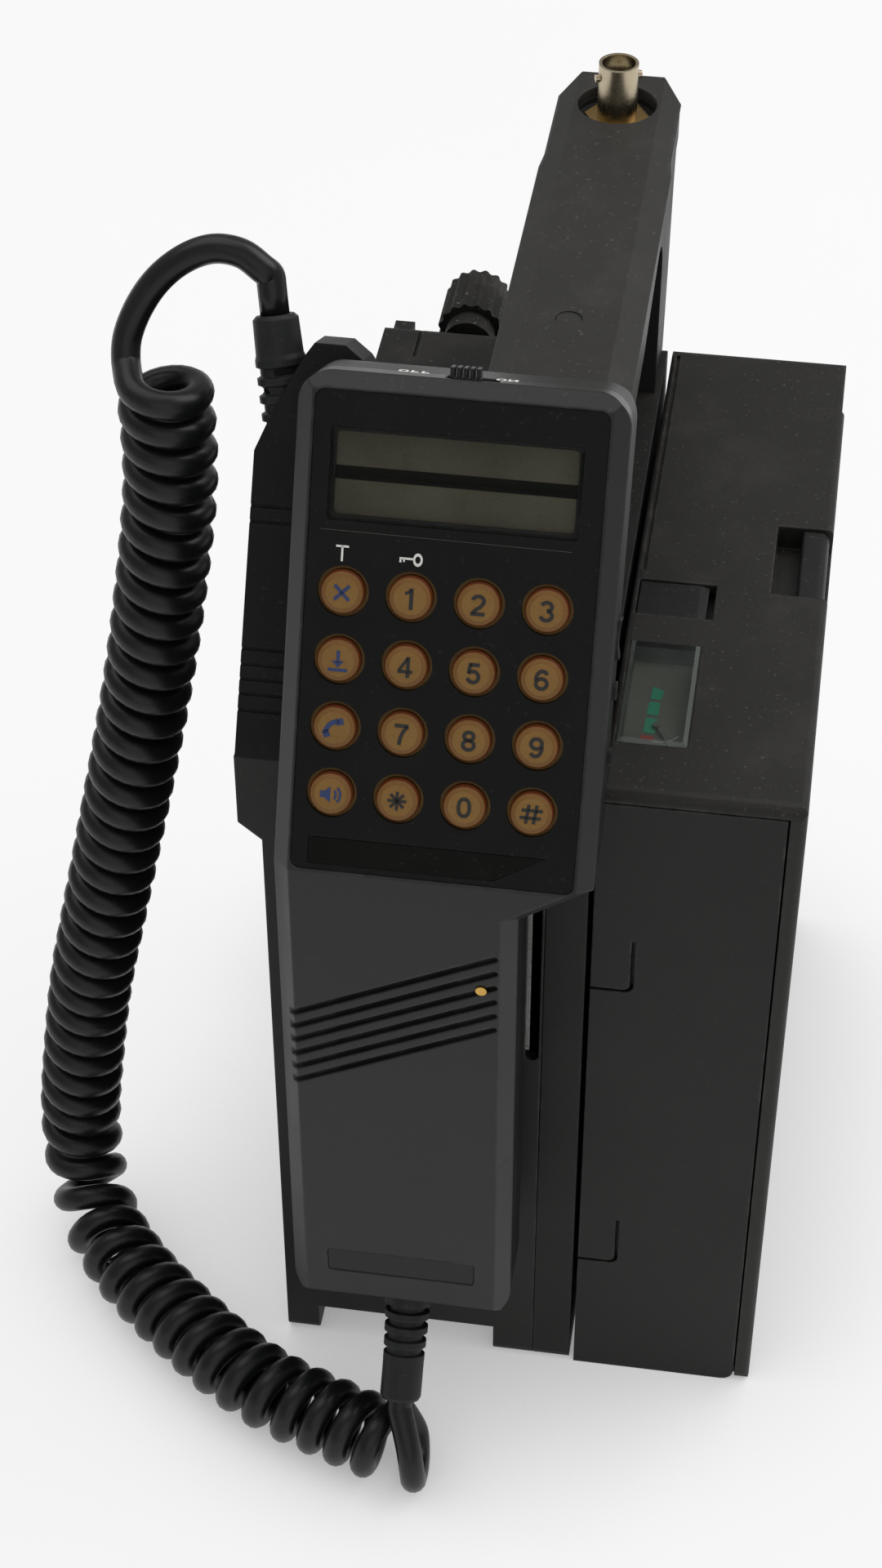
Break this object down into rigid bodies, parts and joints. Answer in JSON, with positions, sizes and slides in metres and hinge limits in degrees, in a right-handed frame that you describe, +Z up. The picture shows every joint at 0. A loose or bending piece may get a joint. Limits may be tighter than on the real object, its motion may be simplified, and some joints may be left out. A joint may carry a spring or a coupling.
{
  "type": "transportable cellular telephone",
  "caption": "Transportable cellular telephone: upright transceiver with carrying handle, aerial socket, clip-on battery pack and a corded keypad handset in a leaning cradle.",
  "frame": {"origin": "on the floor, under the middle plane of the handle and half way between the front and back of the housing", "axes": "+Z up, +X towards the battery pack (right, seen from the keypad side), +Y towards the back"},
  "size_m": [0.1871, 0.244, 0.2911],
  "materials": {
    "housing": "fine grained charcoal, worn pale along edges",
    "contact_metal": "bright strip",
    "circuit_board": "solder mask",
    "tinned_can": "tinned sheet",
    "screw_steel": "zinc plated",
    "socket_brass": "tarnished",
    "socket_nickel": "worn nickel over brass",
    "socket_insulator": "off-white insulator",
    "boot_rubber": "fluted, dusty",
    "cord_rubber": "smooth satin black",
    "pack_plastic": "fine grained charcoal, chipped pale at corners",
    "cell_can": "sleeved cell",
    "clear_window": "scratched clear plastic",
    "dial_card": "printed dial",
    "handset_plastic": "fine satin grain, bluish dark grey",
    "panel_black": "smooth satin black",
    "display_window": "smoked window",
    "lcd_glass": "grey-olive liquid crystal panel",
    "capsule": "transducer capsule",
    "relief_rubber": "dark grey ribbed",
    "button_plastic": "dark grey",
    "key_amber": "translucent amber with a tan face"
  },
  "bodies": {
    "transceiver": {"main_shell": "housing", "side_shell": "housing", "slot_contact": "contact_metal", "rf_board": "circuit_board", "shield_can": "tinned_can", "shell_screws": "screw_steel", "cradle": "housing", "handle_top": "housing", "handle_core": "housing", "handle_plug": "housing", "bnc_flange": "socket_brass", "bnc_barrel": "socket_nickel", "bnc_insulator": "socket_insulator", "bnc_contact": "socket_brass", "rear_connector": "housing", "rear_knob": "boot_rubber", "cradle_relief": "cord_rubber", "cord_lead": "cord_rubber", "cord_coil": "cord_rubber", "cord_tail": "cord_rubber"},
    "battery_pack": {"battery_case": "pack_plastic", "battery_cover": "pack_plastic", "battery_cells": "cell_can", "gauge_window": "clear_window", "gauge_dial": "dial_card"},
    "push_latch": {"push_latch": "pack_plastic"},
    "side_catch": {"side_catch": "pack_plastic"},
    "handset": {"handset_front": "handset_plastic", "handset_back": "handset_plastic", "key_panel": "panel_black", "display_lens": "display_window", "lcd_panel": "lcd_glass", "status_lens": "panel_black", "keypad_board": "circuit_board", "earpiece": "capsule", "microphone": "capsule", "grille_pin": "socket_brass", "nameplate": "panel_black", "handset_relief": "relief_rubber"},
    "power_switch": {"power_switch": "button_plastic"},
    "volume_rocker": {"volume_rocker": "button_plastic"},
    "side_button_a": {"side_button_a": "button_plastic"},
    "side_button_b": {"side_button_b": "button_plastic"},
    "key_clear": {"key_clear": "key_amber"},
    "key_1": {"key_1": "key_amber"},
    "key_2": {"key_2": "key_amber"},
    "key_3": {"key_3": "key_amber"},
    "key_store": {"key_store": "key_amber"},
    "key_4": {"key_4": "key_amber"},
    "key_5": {"key_5": "key_amber"},
    "key_6": {"key_6": "key_amber"},
    "key_call": {"key_call": "key_amber"},
    "key_7": {"key_7": "key_amber"},
    "key_8": {"key_8": "key_amber"},
    "key_9": {"key_9": "key_amber"},
    "key_hands": {"key_hands": "key_amber"},
    "key_star": {"key_star": "key_amber"},
    "key_0": {"key_0": "key_amber"},
    "key_hash": {"key_hash": "key_amber"}
  },
  "joints": [
    {"name": "handset_lift", "type": "slide", "parent": "transceiver", "child": "handset", "axis": [0, -0.8957, 0.4446], "range_m": [0, 0.06]},
    {"name": "battery_pack_slide", "type": "slide", "parent": "transceiver", "child": "battery_pack", "axis": [0, 0, 1], "range_m": [0, 0.007]},
    {"name": "push_latch_press", "type": "slide", "parent": "battery_pack", "child": "push_latch", "axis": [0, 0, -1], "range_m": [0, 0.0015], "stiffness_N_per_m": 400, "springref_m": -0.001},
    {"name": "side_catch_slide", "type": "slide", "parent": "battery_pack", "child": "side_catch", "axis": [-1, 0, 0], "range_m": [0, 0.0045], "stiffness_N_per_m": 150, "springref_m": -0.003},
    {"name": "power_switch_slide", "type": "slide", "parent": "handset", "child": "power_switch", "axis": [1, 0, 0], "range_m": [0, 0.003]},
    {"name": "volume_rock", "type": "hinge", "parent": "handset", "child": "volume_rocker", "pos_m": [0.017, -0.07974, 0.2313], "axis": [0, -0.8957, 0.4446], "range_deg": [-3, 3], "stiffness_Nm_per_rad": 0.02},
    {"name": "side_button_a_press", "type": "slide", "parent": "handset", "child": "side_button_a", "axis": [-1, 0, 0], "range_m": [0, 0.0008], "stiffness_N_per_m": 300, "springref_m": -0.0006},
    {"name": "side_button_b_press", "type": "slide", "parent": "handset", "child": "side_button_b", "axis": [-1, 0, 0], "range_m": [0, 0.0008], "stiffness_N_per_m": 300, "springref_m": -0.0006},
    {"name": "key_clear_press", "type": "slide", "parent": "handset", "child": "key_clear", "axis": [0, 0.8957, -0.4446], "range_m": [0, 0.0012], "stiffness_N_per_m": 300, "springref_m": -0.0008},
    {"name": "key_1_press", "type": "slide", "parent": "handset", "child": "key_1", "axis": [0, 0.8957, -0.4446], "range_m": [0, 0.0012], "stiffness_N_per_m": 300, "springref_m": -0.0008},
    {"name": "key_2_press", "type": "slide", "parent": "handset", "child": "key_2", "axis": [0, 0.8957, -0.4446], "range_m": [0, 0.0012], "stiffness_N_per_m": 300, "springref_m": -0.0008},
    {"name": "key_3_press", "type": "slide", "parent": "handset", "child": "key_3", "axis": [0, 0.8957, -0.4446], "range_m": [0, 0.0012], "stiffness_N_per_m": 300, "springref_m": -0.0008},
    {"name": "key_store_press", "type": "slide", "parent": "handset", "child": "key_store", "axis": [0, 0.8957, -0.4446], "range_m": [0, 0.0012], "stiffness_N_per_m": 300, "springref_m": -0.0008},
    {"name": "key_4_press", "type": "slide", "parent": "handset", "child": "key_4", "axis": [0, 0.8957, -0.4446], "range_m": [0, 0.0012], "stiffness_N_per_m": 300, "springref_m": -0.0008},
    {"name": "key_5_press", "type": "slide", "parent": "handset", "child": "key_5", "axis": [0, 0.8957, -0.4446], "range_m": [0, 0.0012], "stiffness_N_per_m": 300, "springref_m": -0.0008},
    {"name": "key_6_press", "type": "slide", "parent": "handset", "child": "key_6", "axis": [0, 0.8957, -0.4446], "range_m": [0, 0.0012], "stiffness_N_per_m": 300, "springref_m": -0.0008},
    {"name": "key_call_press", "type": "slide", "parent": "handset", "child": "key_call", "axis": [0, 0.8957, -0.4446], "range_m": [0, 0.0012], "stiffness_N_per_m": 300, "springref_m": -0.0008},
    {"name": "key_7_press", "type": "slide", "parent": "handset", "child": "key_7", "axis": [0, 0.8957, -0.4446], "range_m": [0, 0.0012], "stiffness_N_per_m": 300, "springref_m": -0.0008},
    {"name": "key_8_press", "type": "slide", "parent": "handset", "child": "key_8", "axis": [0, 0.8957, -0.4446], "range_m": [0, 0.0012], "stiffness_N_per_m": 300, "springref_m": -0.0008},
    {"name": "key_9_press", "type": "slide", "parent": "handset", "child": "key_9", "axis": [0, 0.8957, -0.4446], "range_m": [0, 0.0012], "stiffness_N_per_m": 300, "springref_m": -0.0008},
    {"name": "key_hands_press", "type": "slide", "parent": "handset", "child": "key_hands", "axis": [0, 0.8957, -0.4446], "range_m": [0, 0.0012], "stiffness_N_per_m": 300, "springref_m": -0.0008},
    {"name": "key_star_press", "type": "slide", "parent": "handset", "child": "key_star", "axis": [0, 0.8957, -0.4446], "range_m": [0, 0.0012], "stiffness_N_per_m": 300, "springref_m": -0.0008},
    {"name": "key_0_press", "type": "slide", "parent": "handset", "child": "key_0", "axis": [0, 0.8957, -0.4446], "range_m": [0, 0.0012], "stiffness_N_per_m": 300, "springref_m": -0.0008},
    {"name": "key_hash_press", "type": "slide", "parent": "handset", "child": "key_hash", "axis": [0, 0.8957, -0.4446], "range_m": [0, 0.0012], "stiffness_N_per_m": 300, "springref_m": -0.0008}
  ]
}
